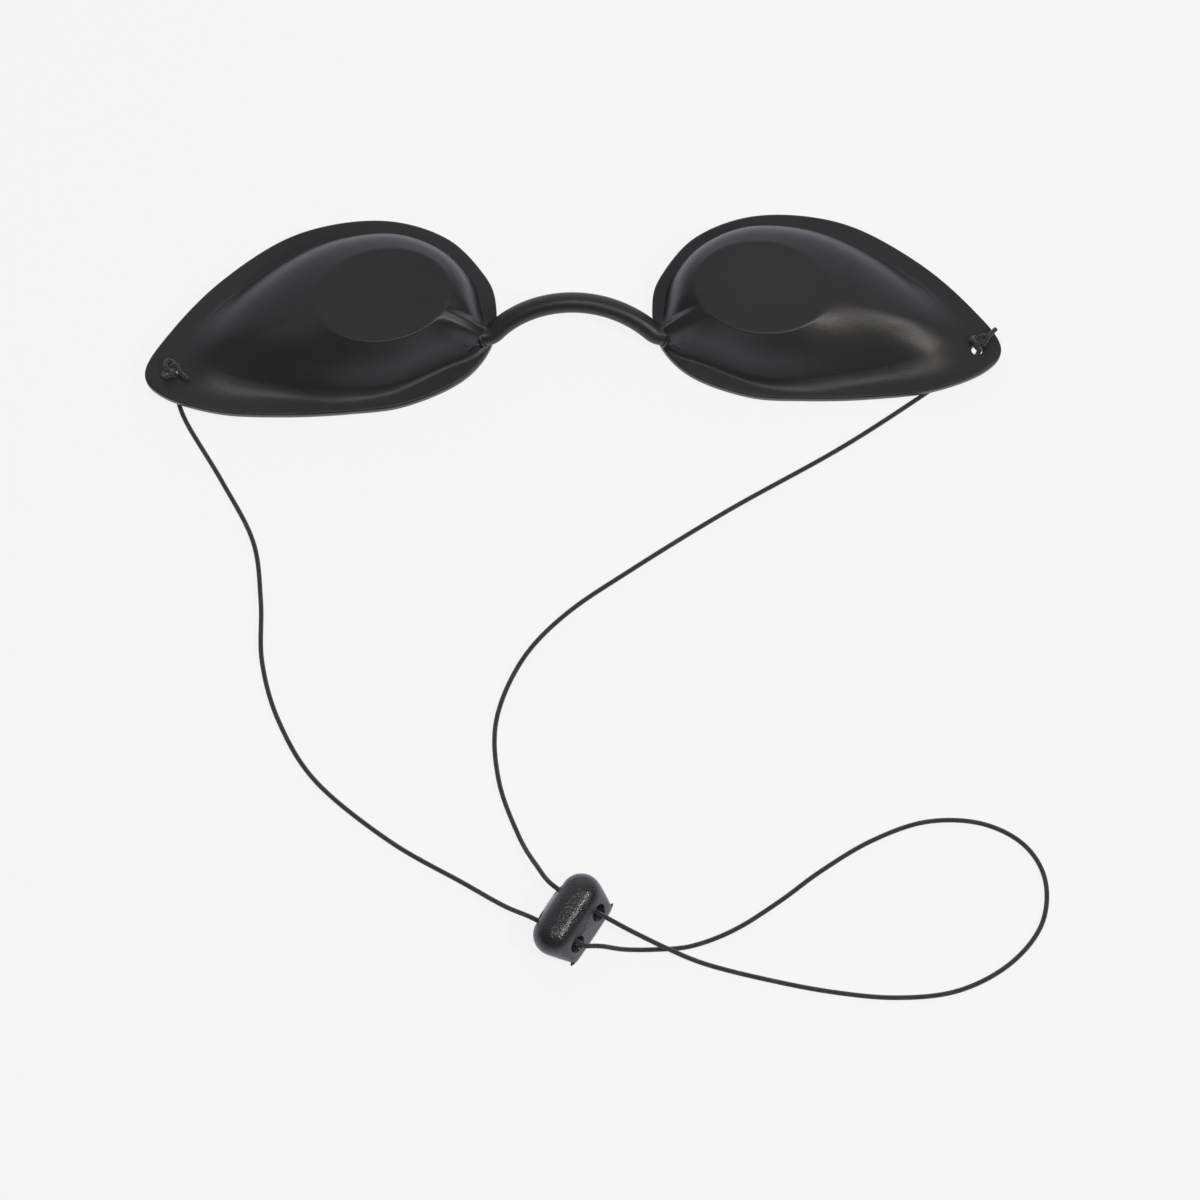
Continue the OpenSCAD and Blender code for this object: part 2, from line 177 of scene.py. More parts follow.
# Several closed skins kept together as one piece
def joined(piece, others):
    with bpy.context.temp_override(active_object=piece, selected_editable_objects=[piece, *others]):
        bpy.ops.object.join()
    return piece


# A round piece about an axis: the profile gives the distance along the axis and the radius of each
# ring. The side is square to the axis, and a ring is its cosine and sine circle. With a lean, a
# point moves along the axis by that share of its height over it.
def lathe(name, start, way, profile, sides=64, lean=0):
    way = unit(way)
    side = unit(np.cross(way, [0, 0, 1] if abs(way[2]) < 0.9 else [1, 0, 0]))
    other = np.cross(way, side)
    profile = np.asarray(profile, float)
    angle = 2 * np.pi * np.arange(sides) / sides
    circle = np.cos(angle)[:, None] * side + np.sin(angle)[:, None] * other
    centres = np.asarray(start, float) + profile[:, :1] * way
    offsets = profile[:, 1][:, None, None] * circle
    rings = centres[:, None] + offsets + lean * offsets[..., 2:] * way
    return skin(name, rings, centres[0], centres[-1])


capBend = np.radians([72, 54, 36, 18])


# A tube along a path: each ring's side is the last ring's, made square to the path again, so the
# tube doesn't twist. Its ends are rounded caps, and V counts diameters along it.
def tube(name, path, diameter, sides, side, capDepth=0.5):
    path = np.asarray(path, float)
    ways = unit(np.gradient(path, axis=0))
    across = np.empty_like(path)
    side = np.asarray(side, float)
    for i, way in enumerate(ways):
        side = unit(side - way * (side @ way))
        across[i] = side
    over = np.cross(ways, across)
    radius = diameter / 2
    capRadii, reach = radius * np.cos(capBend), capDepth * radius * np.sin(capBend)
    radii = np.concatenate([capRadii, np.full(len(path), radius), capRadii[::-1]])
    centres = np.concatenate([path[0] - reach[:, None] * ways[0], path,
                              path[-1] + reach[::-1, None] * ways[-1]])
    caps = ((len(capBend), len(capBend)), (0, 0))
    across, over = np.pad(across, caps, "edge"), np.pad(over, caps, "edge")
    angle = 2 * np.pi * np.arange(sides) / sides
    circle = np.cos(angle)[None, :, None] * across[:, None] + np.sin(angle)[None, :, None] * over[:, None]
    rings = centres[:, None] + radii[:, None, None] * circle
    run = np.concatenate([[0], np.cumsum(np.linalg.norm(np.diff(centres, axis=0), axis=1))])
    first = path[0] - capDepth * radius * ways[0]
    last = path[-1] + capDepth * radius * ways[-1]
    return skin(name, rings, first, last, run / diameter)


# Camera. The near and far limits are in metres.
view = {"elevation": 74, "distance": 560, "target": (4.53, -50.62, 0), "lens": 100, "sensor": 36,
        "near": 0.01, "far": 50}


def photoCamera():
    lens = bpy.data.cameras.new("viewCamera")
    lens.lens, lens.sensor_width = view["lens"], view["sensor"]
    lens.clip_start, lens.clip_end = view["near"], view["far"]
    camera = newObject("viewCamera", lens)
    rise = math.radians(view["elevation"])
    back = Vector((0, -math.cos(rise), math.sin(rise)))
    camera.location = (Vector(view["target"]) + back * view["distance"]) * millimetre
    camera.rotation_euler = (-back).to_track_quat("-Z", "Y").to_euler()
    bpy.context.scene.camera = camera


photoCamera()


# The cups' outlines and places, which the cords and the bridge need too
cup = {
    "length": 60, "height": 33.8, "noseReach": 18.4, "browReach": 17.3,
    "eyeSpacing": 64.2, "rightTilt": 6, "leftTilt": 10.3, "leftDrop": 1.4, "leftMargin": 0.5,
    "rimThickness": 1.6, "rimEdge": 0.4, "lowerEdge": 0.06,
    "rimNose": 2.3, "rimBrow": 2.6, "rimCheek": 3.2,
    "tabLength": 9.2, "tabLift": 2.4, "liftStart": 16,
    "domeHeight": 10, "domeWall": 1.2, "plateauLength": 23, "plateauHeight": 16.7,
    # the slope is nearly straight on the cheek side and full on the brow side. The one ends at
    # cheekEnd and the other starts at browStart, heights in the cup's plane: the first of each pair
    # on the nose side of the eye centre, and the second from slopeRun beyond it.
    "fullness": 0.65, "cheekFullness": 0.25, "shoulderPower": 3.5,
    "cheekEnd": (-8.6, -11.5), "browStart": (-2.6, -2), "slopeRun": 20,
    # the rounding along the dome's foot, and what is added to it over a run towards the cheek and
    # over one towards the temple
    "footFillet": 0.8, "cheekFillet": 3.2, "cheekRun": 9,
    "templeFillet": 2, "templeStart": 20, "templeRun": 11,
    # the rounding of the plateau's edge, and what is added to it on the brow side
    "crownFillet": 0.22, "browCrown": -0.06, "browRun": 6,
    "holeDiameter": 2, "holeInset": 4, "holeDrop": 5, "holeEase": 0.18, "holeCut": 6,
    # outlines as shares of their box, from the nose end round by the brow, the tab and the cheek
    "rimShape": [
        [0, 0.45], [0.02, 0.61], [0.1, 0.82], [0.24, 0.96], [0.41, 1], [0.58, 0.95], [0.76, 0.78],
        [0.91, 0.56], [1, 0.37], [0.96, 0.23], [0.82, 0.11], [0.64, 0.05], [0.46, 0.01], [0.3, 0],
        [0.13, 0.08], [0.03, 0.24]],
    "domeShape": [
        [0, 0.41], [0.02, 0.61], [0.1, 0.81], [0.24, 0.96], [0.41, 1], [0.58, 0.96], [0.76, 0.83],
        [0.92, 0.63], [1, 0.42], [0.95, 0.26], [0.83, 0.16], [0.67, 0.08], [0.53, 0.02], [0.36, 0],
        [0.17, 0.08], [0.02, 0.17]],
}
cheekReach = cup["height"] - cup["browReach"]
templeReach = cup["length"] - cup["noseReach"]
holeAt = np.array([templeReach - cup["holeInset"], -cup["holeDrop"], 0])


# A shape's shares stretched over its box, then joined by cubics
def outline(shape, low, high, steps):
    low, high = np.asarray(low), np.asarray(high)
    return curveThrough(low + np.asarray(shape, float) * (high - low), steps, closed=True)


def rimOutline(margin, steps):
    return outline(cup["rimShape"], [-cup["noseReach"] - margin, -cheekReach - margin],
                   [templeReach + margin, cup["browReach"] + margin], steps)


def domeOutline(steps):
    return outline(cup["domeShape"], [cup["rimNose"] - cup["noseReach"], cup["rimCheek"] - cheekReach],
                   [templeReach - cup["tabLength"], cup["browReach"] - cup["rimBrow"]], steps)


# How far the rim stands off the face: an ease curve from the start of the lift to the tab's tip
def lift(x):
    return cup["tabLift"] * eased((x - cup["liftStart"]) / (templeReach - cup["liftStart"]))


# A way in a cup's own axes, with its tab along +X, turned as the cup on that side is
def waySide(vector, side):
    vector = np.array(vector, float)
    if side == "left":
        vector[..., 0] *= -1
    return turned(vector, cup["leftTilt"] if side == "left" else -cup["rightTilt"])


# A point of a cup, with its eye centre at the origin, brought to that side's eye
def onSide(points, side):
    out = waySide(points, side)
    half = cup["eyeSpacing"] / 2
    out[..., :2] += [-half, -cup["leftDrop"]] if side == "left" else [half, 0]
    return out


# The middle of the two rims' common box is the origin of the frame
rims = np.concatenate([onSide(rimOutline(0, 5), "right"), onSide(rimOutline(cup["leftMargin"], 5), "left")])
middle = (rims.max(0) + rims.min(0)) / 2


def placed(points, side):
    out = onSide(points, side)
    out[..., :2] -= middle
    return out


# Cords: their facts and routes first. The pull is where in its hole the cord stands, and the way is
# how it leaves the tab. A point of the free cord lies on the table, or at the height that is given.
cord = {
    "diameter": 0.8, "tableGap": 0.05, "bendDiameters": 2.25, "sides": 14, "stepsPerSpan": 10,
    "pull": {"left": (-0.25, -0.45), "right": (0.4, 0)},
    "way": {"left": (0.35, -0.94, 0), "right": (-0.78, -0.62, 0)},
    "leftPoints": [
        [-66.1, -19], [-59.6, -29.8], [-54, -40.5], [-52.4, -51], [-51.9, -61.5], [-48.8, -71.8],
        [-42.4, -82], [-30.1, -92], [-17.9, -99, 0.55], [-11.1, -103.1, 2]],
    "rightPoints": [
        [58.2, -15.4], [44.6, -24.4], [26.2, -35], [9.6, -45.6], [-1.4, -53.4], [-8.6, -61.4],
        [-12.7, -71.6], [-12.2, -81.8], [-8.9, -91, 0.6], [-5.8, -96.5, 2.2]],
    "loopPoints": [
        [9.4, -107.3, 3], [15.4, -110, 1.6], [21.6, -112.4, 0.7], [30.6, -114.7], [41.8, -116.9],
        [52.6, -117.9], [62.6, -116.8], [71.1, -112.5], [76.6, -106], [77.5, -98.5], [74.1, -92.5],
        [67.1, -89], [58.1, -88.8], [49.1, -92], [40.8, -97], [34, -102], [26.6, -106.7],
        [19.6, -109.4], [13.6, -110], [8.5, -110.1, 1.1], [4.9, -109.9, 2.9]],
}
bead = {
    "place": (-0.3, -105.2), "turn": 56.5, "length": 14.8, "depth": 9.2, "height": 7.6, "base": 10.8,
    "endRadius": 3.4, "corner": 4, "skirt": 0.8, "topBack": 0.5, "core": 3.4,
    "boreDiameter": 3, "mouthDiameter": 4, "boreSpacing": 6.2, "boreHeight": 3.8,
    # the mouths' flare: how deep it goes, how late it opens, and how far it is set in
    "flareDepth": 1.1, "flarePower": 2.2, "flareInset": 0.092,
    "nub": 0.4, "nubLength": 1.2,
    # how the cord lies in the bores: how far past each end it is guided, where it sags at the back
    # end, and how far the left one is shifted at the front
    "guide": 0.2, "sag": (0, -0.4, -0.5), "frontShift": 0.5,
}
cordRadius = cord["diameter"] / 2
tableHeight = cordRadius + cord["tableGap"]
turnRadius = cord["bendDiameters"] * cord["diameter"]
beadTurn = math.radians(bead["turn"])
beadAlong = np.array([math.cos(beadTurn), math.sin(beadTurn), 0])
beadAcross = np.array([math.sin(beadTurn), -math.cos(beadTurn), 0])


# Where the cord stands in a tab's hole, a bend's radius above the table
def holeFoot(side):
    x, y = placed(holeAt, side)[:2] + cord["pull"][side]
    return np.array([x, y, tableHeight + turnRadius])


# A quarter turn from straight down to level
def firstBend(foot, way):
    a = np.radians([0, 30, 60, 90])[:, None]
    return foot + turnRadius * ((1 - np.cos(a)) * unit(way) - np.sin(a) * np.array([0, 0, 1]))


# Where the cord passes an end of a bore: side -1 is the left strand's bore, and end 1 is the front
def borePoint(side, end):
    along = side * bead["boreSpacing"] / 2 + (bead["frontShift"] if side < 0 < end else 0)
    point = np.array([*bead["place"], bead["boreHeight"]]) + along * beadAlong
    point += end * (bead["depth"] / 2 + bead["guide"]) * beadAcross
    return point + (np.array(bead["sag"]) if end < 0 else 0)


def onTable(points):
    return np.array([[p[0], p[1], p[2] if len(p) > 2 else tableHeight] for p in points])


# From a tab's hole, along the table and through the bead
def strandRoute(side, points, bore):
    return np.concatenate([firstBend(holeFoot(side), cord["way"][side]), onTable(points),
                           [borePoint(bore, -1), borePoint(bore, 1)]])


# The route's curve, never lower than the cord's own radius above the table
def cordPath(route):
    path = curveThrough(route, cord["stepsPerSpan"])
    path[:, 2] = np.maximum(path[:, 2], cordRadius)
    return path


leftPath = cordPath(strandRoute("left", cord["leftPoints"], -1))
rightPath = cordPath(strandRoute("right", cord["rightPoints"], 1))
loopPath = cordPath(np.concatenate([[borePoint(1, 1)], onTable(cord["loopPoints"]), [borePoint(-1, 1)]]))
leftStrand = tube("leftStrand", leftPath, cord["diameter"], cord["sides"], beadAlong)
rightStrand = tube("rightStrand", rightPath, cord["diameter"], cord["sides"], beadAlong)
cordLoop = tube("cordLoop", loopPath, cord["diameter"], cord["sides"], beadAlong)

# An overhand knot over each tab's hole, pulled tight: x = s (sin t + 2 sin 2t),
# y = s (cos t - 2 cos 2t), z = -h sin 3t over most of a turn. A leg comes up through the hole,
# and a short tail leaves it. Middles are measured from the hole and tails from the middle.
knot = {
    "start": 505, "sweep": 290, "points": 20, "steps": 8, "sides": 16, "cap": 0.25,
    "gap": 0.05, "legTop": 0.5,
    "left": {"middle": (0.05, 0.2), "lobe": 0.56, "rise": 0.4, "turn": 80,
             "tail": [[1.4, -0.5, 0.2], [2.1, -1.1, 0], [2.7, -1.7, -0.25]]},
    "right": {"middle": (0.3, 1.0), "lobe": 0.45, "rise": 0.45, "turn": 4,
              "tail": [[1.0, -0.2, 0.6], [1.45, 0.6, 0.85], [2.1, 1.35, 0.75], [2.8, 2.1, 0.6]]},
}


def cordKnot(name, side):
    facts, foot = knot[side], holeFoot(side)
    face = cup["rimThickness"] + lift(holeAt[0])
    t = np.radians(knot["start"] - knot["sweep"] * np.linspace(0, 1, knot["points"]))
    lobes = np.stack([facts["lobe"] * (np.sin(t) + 2 * np.sin(2 * t)),
                      facts["lobe"] * (np.cos(t) - 2 * np.cos(2 * t)), -facts["rise"] * np.sin(3 * t)], 1)
    standing = face + facts["rise"] + cordRadius + knot["gap"]
    middleAt = placed(holeAt, side) + [*facts["middle"], standing]
    leg = np.array([foot, [foot[0], foot[1], face - knot["legTop"]]])
    route = np.concatenate([leg, middleAt + turned(lobes, facts["turn"]), middleAt + facts["tail"]])
    return tube(name, curveThrough(route, knot["steps"]), cord["diameter"], knot["sides"], beadAlong,
                knot["cap"])


leftKnot = cordKnot("leftKnot", "left")
rightKnot = cordKnot("rightKnot", "right")
print("cords made:", *(round(pathLength(p)) for p in (leftPath, rightPath, loopPath)), "mm")


# Eye cups
socket = {
    "rodDiameter": 3.5, "clearance": 0.05, "plugLength": 3.6,
    "inset": 2.5, "drop": 8, "height": 3.6, "turn": 5,
    # the dome's raised foot round the mouth: its top, how deep its middle is, how far it is level,
    # how far off it ends towards the cheek and the brow, and over how much it drops to the rim
    "mouthTop": 5.7, "mouthDepth": 0.5, "mouthLevel": 0.6, "mouthReach": (4.2, 2.5), "mouthWall": 0.3,
    "lean": 0.35, "lip": 0.32, "lipDepth": 0.45, "lipCrease": 60,
}
socketAt = np.array([socket["inset"] - cup["noseReach"], -socket["drop"], socket["height"]])
socketTurn = math.radians(socket["turn"])
intoCup = np.array([math.cos(socketTurn), math.sin(socketTurn), 0])

# Where a cup's rings run: shares of the way across the plateau, the rest of the rim and the roof,
# distances past the dome's foot, angles round the rim's edge and a share of the rim's side
cupRows = {
    "around": 28, "slope": 47, "wall": 23,
    "plateau": [0.08, 0.25, 0.42, 0.58, 0.7, 0.8, 0.87, 0.92, 0.95, 0.97, 0.985],
    "apron": [0.06, 0.13, 0.2, 0.29, 0.4, 0.55, 0.75],
    "rim": [0.1, 0.2, 0.32, 0.45, 0.6, 0.75, 0.9, 1],
    "edge": [15, 30, 45, 60, 75, 90], "side": 0.45,
    "roof": [0.8, 0.5, 0.2],
}


# One value for each ring, to be spread over its points
def perRing(values):
    return np.array(values)[:, None, None]


# Shares from 0 to 1 that crowd together at both ends: half of 1 - cos
def waveShares(count):
    return perRing(1 - np.cos(np.pi * np.arange(count) / (count - 1))) / 2


def oval(length, height, angle):
    return np.stack([length / 2 * np.cos(angle), height / 2 * np.sin(angle)], 1)


# The share of the dome's rise at each share of its slope: a steep shoulder curve plus a straight
# part, carried on as straight lines past the foot and past the plateau's edge
def riseShare(t, full):
    power = cup["shoulderPower"]
    inside = full * (1 - np.clip(1 - t, 0, 1) ** power) + (1 - full) * t
    return np.where(t < 0, (full * power + 1 - full) * t, inside)


# How full the slope is round the foot, with an ease between the cheek's and the brow's
def slopeFullness(foot):
    ends = np.array([cup["cheekEnd"], cup["browStart"]])
    low, high = mix(ends[:, :1], ends[:, 1:], eased(foot[:, 0] / cup["slopeRun"]))
    return mix(cup["cheekFullness"], cup["fullness"], eased((foot[:, 1] - low) / (high - low)))


# How far each point of the dome's foot is raised so that the slope runs out to the socket's mouth:
# level at the mouth, then an ease curve down to nothing on its cheek side and on its brow side
def mouthRaise(foot):
    away = np.linalg.norm(foot - (socketAt[:2] + socket["mouthDepth"] * intoCup[:2]), axis=1)
    reach = np.where(foot[:, 1] < socketAt[1], *socket["mouthReach"])
    level = socket["mouthLevel"]
    return (socket["mouthTop"] - cup["rimThickness"]) * (1 - eased((away - level) / (reach - level)))


# The skin from the plateau's middle down the slope and over the rim, first as flat places. Its height
# is the larger of the rim's top and the slope, with a fillet between them, and then the lesser of
# that and the plateau's.
def topRings(foot, edge, rim, outward):
    apron = foot + perRing(cupRows["apron"]) * outward
    brink = rim - cup["rimEdge"] * outward
    flats = np.concatenate([perRing(cupRows["plateau"]) * edge,
                            mix(edge, foot, waveShares(cupRows["slope"])),
                            apron, mix(apron[-1], brink, perRing(cupRows["rim"]))])
    footReach = np.linalg.norm(foot, axis=1)
    run = footReach - np.linalg.norm(edge, axis=1)
    t = (footReach - np.linalg.norm(flats, axis=2)) / run
    ground = cup["rimThickness"] + lift(flats[..., 0])
    outside = np.clip(-t, 0, None) * run
    base = ground + mouthRaise(foot) * (1 - eased(outside / socket["mouthWall"]))
    slope = base + (cup["domeHeight"] - base) * riseShare(t, slopeFullness(foot))
    cheek = eased(-foot[:, 1] / cup["cheekRun"])
    temple = eased((foot[:, 0] - cup["templeStart"]) / cup["templeRun"])
    fillet = cup["footFillet"] + cup["cheekFillet"] * cheek + cup["templeFillet"] * temple
    crown = cup["crownFillet"] + cup["browCrown"] * eased(edge[:, 1] / cup["browRun"] + 0.5)
    return np.dstack([flats, softMin(cup["domeHeight"], softMax(ground, slope, fillet), crown)])


# The rim's rounded upper edge, its side and its lower edge
def edgeRings(rim, outward):
    thick, radius, low = cup["rimThickness"], cup["rimEdge"], cup["lowerEdge"]
    bend = np.radians(cupRows["edge"])
    insets = [*(radius * (1 - np.sin(bend))), 0, 0, low, radius / 2]
    heights = [*(thick - radius * (1 - np.cos(bend))), thick * cupRows["side"], radius / 2, low, 0]
    places = rim - perRing(insets) * outward
    return np.dstack([places, np.array(heights)[:, None] + lift(places[..., 0])])


# Underneath: level to the hollow, up the hollow's wall, then in along its flat roof
def hollowRings(foot, edge, angle):
    wallFoot = foot + cup["domeWall"] * unit(edge - foot)
    roofEdge = oval(cup["plateauLength"] - cup["domeWall"], cup["plateauHeight"] - cup["domeWall"], angle)
    climb, roof = waveShares(cupRows["wall"]), cup["domeHeight"] - cup["domeWall"]
    wall, inside = mix(wallFoot, roofEdge, climb), perRing(cupRows["roof"]) * roofEdge
    ground = lift(wall[..., 0])
    height = ground + (roof - ground) * riseShare(climb[..., 0], slopeFullness(foot))
    return np.concatenate([np.dstack([wall, height]), np.dstack([inside, np.full(inside.shape[:2], roof)])])


def cupShell(name, side):
    foot = domeOutline(cupRows["around"])
    rim = rimOutline(cup["leftMargin"] if side == "left" else 0, cupRows["around"])
    angle = np.arctan2(foot[:, 1] / cup["plateauHeight"], foot[:, 0] / cup["plateauLength"])
    edge = oval(cup["plateauLength"], cup["plateauHeight"], angle)
    outward = unit(rim - foot)
    rings = np.concatenate([topRings(foot, edge, rim, outward), edgeRings(rim, outward),
                            hollowRings(foot, edge, angle)])
    crown, ceiling = [0, 0, cup["domeHeight"]], [0, 0, cup["domeHeight"] - cup["domeWall"]]
    return skin(name, placed(rings, side), placed(crown, side), placed(ceiling, side))


# What is cut out of the tab: a hole with a small round at its upper edge
def tabHole(side):
    face = cup["rimThickness"] + lift(holeAt[0])
    radius, ease, cut = cup["holeDiameter"] / 2, cup["holeEase"], cup["holeCut"]
    profile = [[face - cut, radius], [face - ease, radius], [face - ease * 0.3, radius + ease * 0.3],
               [face + 0.1, radius + ease * 1.1], [face + cut / 2, radius + ease * 1.1]]
    return lathe("bore", placed(holeAt, side), [0, 0, 1], profile)


# The lip round a socket's mouth: from inside the shell out to the mouth and back along the bore
def socketLip(side):
    bore = socket["rodDiameter"] / 2 + socket["clearance"]
    outer, depth = bore + socket["lip"], socket["lipDepth"]
    profile = [[depth + 0.5, 0.3], [depth + 0.4, bore], [depth, outer - 0.12], [depth - 0.08, outer - 0.02],
               [0.12, outer - 0.02], [0.03, outer - 0.09], [0, outer - 0.17], [0.04, bore + 0.06],
               [0.14, bore], [0.8, bore], [0.9, 0.3]]
    lip = lathe("collar", placed(socketAt, side), waySide(intoCup, side), profile, lean=socket["lean"])
    lip.data.set_sharp_from_angle(angle=math.radians(socket["lipCrease"]))
    return lip


def eyeCup(name, side):
    shell = cupShell(name, side)
    cutWith(shell, [tabHole(side)])
    return joined(shell, [socketLip(side)])


leftShell = eyeCup("leftShell", "left")
rightShell = eyeCup("rightShell", "right")
print("eye cups made")


# Nose bridge
bridge = {"elbow": 3, "turn": 28, "pitch": 25, "bow": {"left": 9, "right": 11},
          "sides": 48, "cap": 0.2, "plugRows": 8, "elbowRows": 17, "bowRows": 81}


# Half of the rod: its plug, then an arc from the socket's axis to the way in which the rod leaves
def rodHalf():
    pitch, turn = math.radians(bridge["pitch"]), math.radians(bridge["turn"])
    level = math.cos(pitch)
    rodWay = np.array([-level * math.cos(turn), level * math.sin(turn), math.sin(pitch)])
    side = unit(rodWay - (rodWay @ intoCup) * intoCup)
    a = math.acos(-intoCup @ rodWay) * np.linspace(0, 1, bridge["elbowRows"])[:, None]
    elbow = socketAt + bridge["elbow"] * (-np.sin(a) * intoCup + (1 - np.cos(a)) * side)
    plug = socketAt + np.linspace(socket["plugLength"], 0, bridge["plugRows"])[:-1, None] * intoCup
    return np.concatenate([plug, elbow]), rodWay


# The bow between the two halves is a cubic with a handle at each end:
# (1 - s)^3 p + 3 (1 - s)^2 s (p + handle) + 3 (1 - s) s^2 (q + handle) + s^3 q
def rodPath():
    half, rodWay = rodHalf()
    left, right = placed(half, "left"), placed(half, "right")[::-1]
    p, q = left[-1], right[0]
    leftHandle = p + bridge["bow"]["left"] * waySide(rodWay, "left")
    rightHandle = q + bridge["bow"]["right"] * waySide(rodWay, "right")
    s = np.linspace(0, 1, bridge["bowRows"])[1:-1, None]
    bow = (1 - s) ** 3 * p + 3 * (1 - s) ** 2 * s * leftHandle + 3 * (1 - s) * s**2 * rightHandle + s**3 * q
    return np.concatenate([left, bow, right])


bridgeRod = tube("bridgeRod", rodPath(), socket["rodDiameter"], bridge["sides"], [0, 0, 1], bridge["cap"])
print("nose bridge made")


# Bead. Its skin is worked out from support planes, of which about as many as "shared" count at once.
beadRows = {"rows": 90, "around": 160, "planes": 1600, "power": 150, "shared": 12}


# Ways spread evenly over a sphere: levels in equal steps, each turned on by the golden angle
def evenWays(count):
    k = np.arange(count) + 0.5
    z = 1 - 2 * k / count
    turn = np.pi * (1 + math.sqrt(5)) * k
    return np.stack([np.sqrt(1 - z * z) * np.cos(turn), np.sqrt(1 - z * z) * np.sin(turn), z], 1)


# How far the bead reaches along each way n from its core: the most that any corner of its foot's
# straight side, round corner of its foot's other side or ball at its top's ends reaches
def beadReach(n, core):
    halfBase, halfDepth, corner = bead["base"] / 2, bead["depth"] / 2, bead["corner"]
    points, rounds, balls = [], [], []
    for end in (-1, 1):
        for level in (0, bead["skirt"]):
            points.append([end * halfBase, -halfDepth, level])
            points.append([end * halfBase, 0, level])
            rounds.append([end * (halfBase - corner), halfDepth - corner, level])
        balls.append([end * (bead["length"] / 2 - bead["endRadius"]), bead["topBack"],
                      bead["height"] - bead["endRadius"]])
    flatLength = np.linalg.norm(n[:, :2], axis=1)[:, None]
    return np.concatenate([n @ (np.array(points) - core).T,
                           n @ (np.array(rounds) - core).T + corner * flatLength,
                           n @ (np.array(balls) - core).T + bead["endRadius"]], 1).max(1)


# The bead's distance from its core in each direction is a soft least over its support planes: for a
# plane with normal n at distance h, the direction w meets it at h / (n . w), and the soft least is
# the mean of (n . w / h) to a high power, raised to minus one over that power.
def beadRings():
    rows, cols, planes, power = (beadRows[key] for key in ("rows", "around", "planes", "power"))
    core, n = np.array([0, 0, bead["core"]]), evenWays(planes)
    polar = np.pi * (np.arange(rows) + 0.5) / rows
    around = 2 * np.pi * np.arange(cols) / cols
    w = np.stack([np.sin(polar)[:, None] * np.cos(around), np.sin(polar)[:, None] * np.sin(around),
                  np.repeat(np.cos(polar)[:, None], cols, 1)], 2)
    w = np.concatenate([w.reshape(-1, 3), [[0, 0, 1], [0, 0, -1]]])
    share = np.clip(w @ n.T, 0, None) / beadReach(n, core)
    most = share.max(1)
    soft = most * ((share / most[:, None]) ** power).mean(1) ** (1 / power)
    distance = 1 / (soft * (planes / beadRows["shared"]) ** (1 / power))
    points = core + w * distance[:, None]
    points[:, 2] = np.clip(points[:, 2], 0, bead["height"])
    return points[:-2].reshape(rows, cols, 3), points[-2], points[-1]


def onBead(points):
    out = turned(points, bead["turn"])
    out[..., :2] += bead["place"]
    return out


# What is cut out for a bore: straight in the middle, then a flare to each mouth by a power of the way
def boreCutter(end):
    reach, bore, mouth = bead["depth"] / 2, bead["boreDiameter"] / 2, bead["mouthDiameter"] / 2
    half = [[reach - bead["flareInset"] - bead["flareDepth"] * (1 - s),
             bore + (mouth - bore) * s ** bead["flarePower"]] for s in np.linspace(0, 1, 7)]
    profile = [[-d, r] for d, r in half[::-1]] + half
    profile = [[-2 * reach, mouth + 0.2], *profile, [2 * reach, mouth + 0.2]]
    place = np.array([end * bead["boreSpacing"] / 2, 0, bead["boreHeight"]])
    return lathe("bore", onBead(place), beadAcross, profile, 56)


# A moulding tip that narrows away from a front corner of the foot
def beadNub(end):
    thick, length = bead["nub"], bead["nubLength"]
    root = np.array([end * (bead["base"] / 2 - thick), thick - bead["depth"] / 2, thick])
    profile = [[0, 0.2], [0, thick], [length * 0.3, thick * 0.95], [length * 0.6, thick * 0.75],
               [length * 0.85, thick * 0.42], [length, thick * 0.15]]
    return lathe("nub", onBead(root), end * beadAlong, profile, 20)


def loafBead(name):
    rings, top, bottom = beadRings()
    body = skin(name, onBead(rings), onBead(top), onBead(bottom))
    cutWith(body, [boreCutter(end) for end in (-1, 1)])
    return joined(body, [beadNub(end) for end in (-1, 1)])


cordBead = loafBead("cordBead")
print("bead made")


# Materials


# One output of a node. Arithmetic on it adds Math nodes.
class Wire:
    def __init__(self, finish, output):
        self.finish, self.output = finish, output

    def maths(self, operation, *values):
        return self.finish.node("ShaderNodeMath", {"operation": operation}, dict(enumerate(values)))

    def __add__(self, other):
        return self.maths("ADD", self, other)

    def __radd__(self, other):
        return self.maths("ADD", other, self)

    def __sub__(self, other):
        return self.maths("SUBTRACT", self, other)

    def __rsub__(self, other):
        return self.maths("SUBTRACT", other, self)

    def __mul__(self, other):
        return self.maths("MULTIPLY", self, other)

    def __pow__(self, other):
        return self.maths("POWER", self, other)

    def __abs__(self):
        return self.maths("ABSOLUTE", self)

    def sine(self):
        return self.maths("SINE", self)

    def atLeast(self, low):
        return self.maths("MAXIMUM", self, low)

    # 0 below the low value and 1 above the high one, with a smooth step between
    def between(self, low, high):
        return self.finish.node("ShaderNodeMapRange", {"interpolation_type": "SMOOTHSTEP"},
                                {"Value": self, "From Min": low, "From Max": high})


